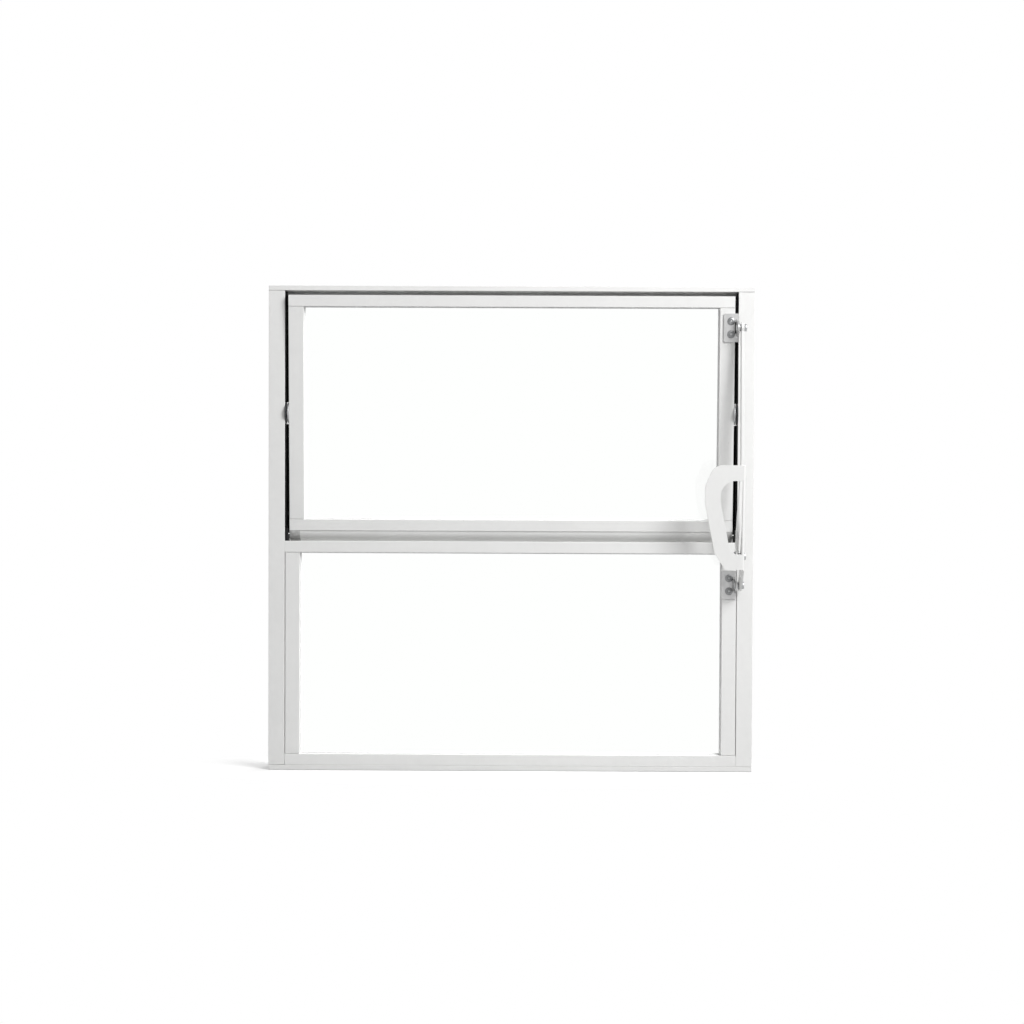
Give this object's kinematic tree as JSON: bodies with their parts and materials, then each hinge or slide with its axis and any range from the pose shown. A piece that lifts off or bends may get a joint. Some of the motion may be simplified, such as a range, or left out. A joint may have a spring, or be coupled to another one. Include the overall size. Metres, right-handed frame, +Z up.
{
  "type": "pivot window",
  "caption": "Square aluminium window: a horizontally pivoted upper sash worked by a D-shaped lever and link rod, above a fixed light, in a slim box frame.",
  "frame": {"origin": "middle of the sill's underside, at half the frame's depth", "axes": "+X to the right seen from the room, +Y from the room to the outside, +Z up"},
  "size_m": [0.6, 0.0941, 0.6],
  "materials": {
    "white_coated_aluminium": "white powder coat, satin",
    "white_coated_steel": "white powder coat, smooth",
    "bracket_aluminium": "satin anodised",
    "plated_steel": "zinc plated",
    "clear_float_glass": "clear, polished",
    "grey_glazing_gasket": "matte extruded rubber",
    "black_pile": "dense woven pile",
    "grey_nylon": "moulded nylon",
    "dark_rubber": "matte rubber",
    "grey_foam_rubber": "closed-cell foam"
  },
  "bodies": {
    "frame": {"sill": "white_coated_aluminium", "head": "white_coated_aluminium", "left_jamb": "white_coated_aluminium", "right_jamb": "white_coated_aluminium", "transom": "white_coated_aluminium", "lower_bottom_rail": "white_coated_aluminium", "lower_left_stile": "white_coated_aluminium", "lower_right_stile": "white_coated_aluminium", "lower_glass": "clear_float_glass", "lower_gasket": "grey_glazing_gasket", "head_pile": "black_pile", "left_pivot_bush": "grey_nylon", "right_pivot_bush": "grey_nylon", "left_gutter_block": "dark_rubber", "right_gutter_block": "dark_rubber", "lever_bracket": "bracket_aluminium", "lever_pin": "plated_steel"},
    "sash": {"sash_top_rail": "white_coated_aluminium", "sash_bottom_rail": "white_coated_aluminium", "sash_left_stile": "white_coated_aluminium", "sash_right_stile": "white_coated_aluminium", "sash_glass": "clear_float_glass", "sash_gasket": "grey_glazing_gasket", "sash_left_pile": "black_pile", "sash_right_pile": "black_pile", "left_drip_pad": "grey_foam_rubber", "right_drip_pad": "grey_foam_rubber", "left_pivot_pin": "plated_steel", "right_pivot_pin": "plated_steel", "sash_bracket": "bracket_aluminium", "rod_pin": "plated_steel"},
    "rod": {"link_rod": "white_coated_steel"},
    "lever": {"lever": "white_coated_steel", "link_pin": "plated_steel"}
  },
  "joints": [
    {"name": "sash_pivot", "type": "hinge", "parent": "frame", "child": "sash", "pos_m": [0, -0.011, 0.44295], "axis": [1, 0, 0], "range_deg": [-3, 37]},
    {"name": "rod_swing", "type": "hinge", "parent": "sash", "child": "rod", "pos_m": [0.2828, -0.03757, 0.54875], "axis": [1, 0, 0], "range_deg": [-30, 3]},
    {"name": "lever_swing", "type": "hinge", "parent": "frame", "child": "lever", "pos_m": [0.2825, -0.032, 0.2325], "axis": [1, 0, 0], "range_deg": [-5.1, 62.1]}
  ],
  "couplings": [
    {"joint": "rod_swing", "follows": "sash_pivot", "ratio": -0.8083},
    {"joint": "lever_swing", "follows": "sash_pivot", "ratio": 1.6766}
  ]
}
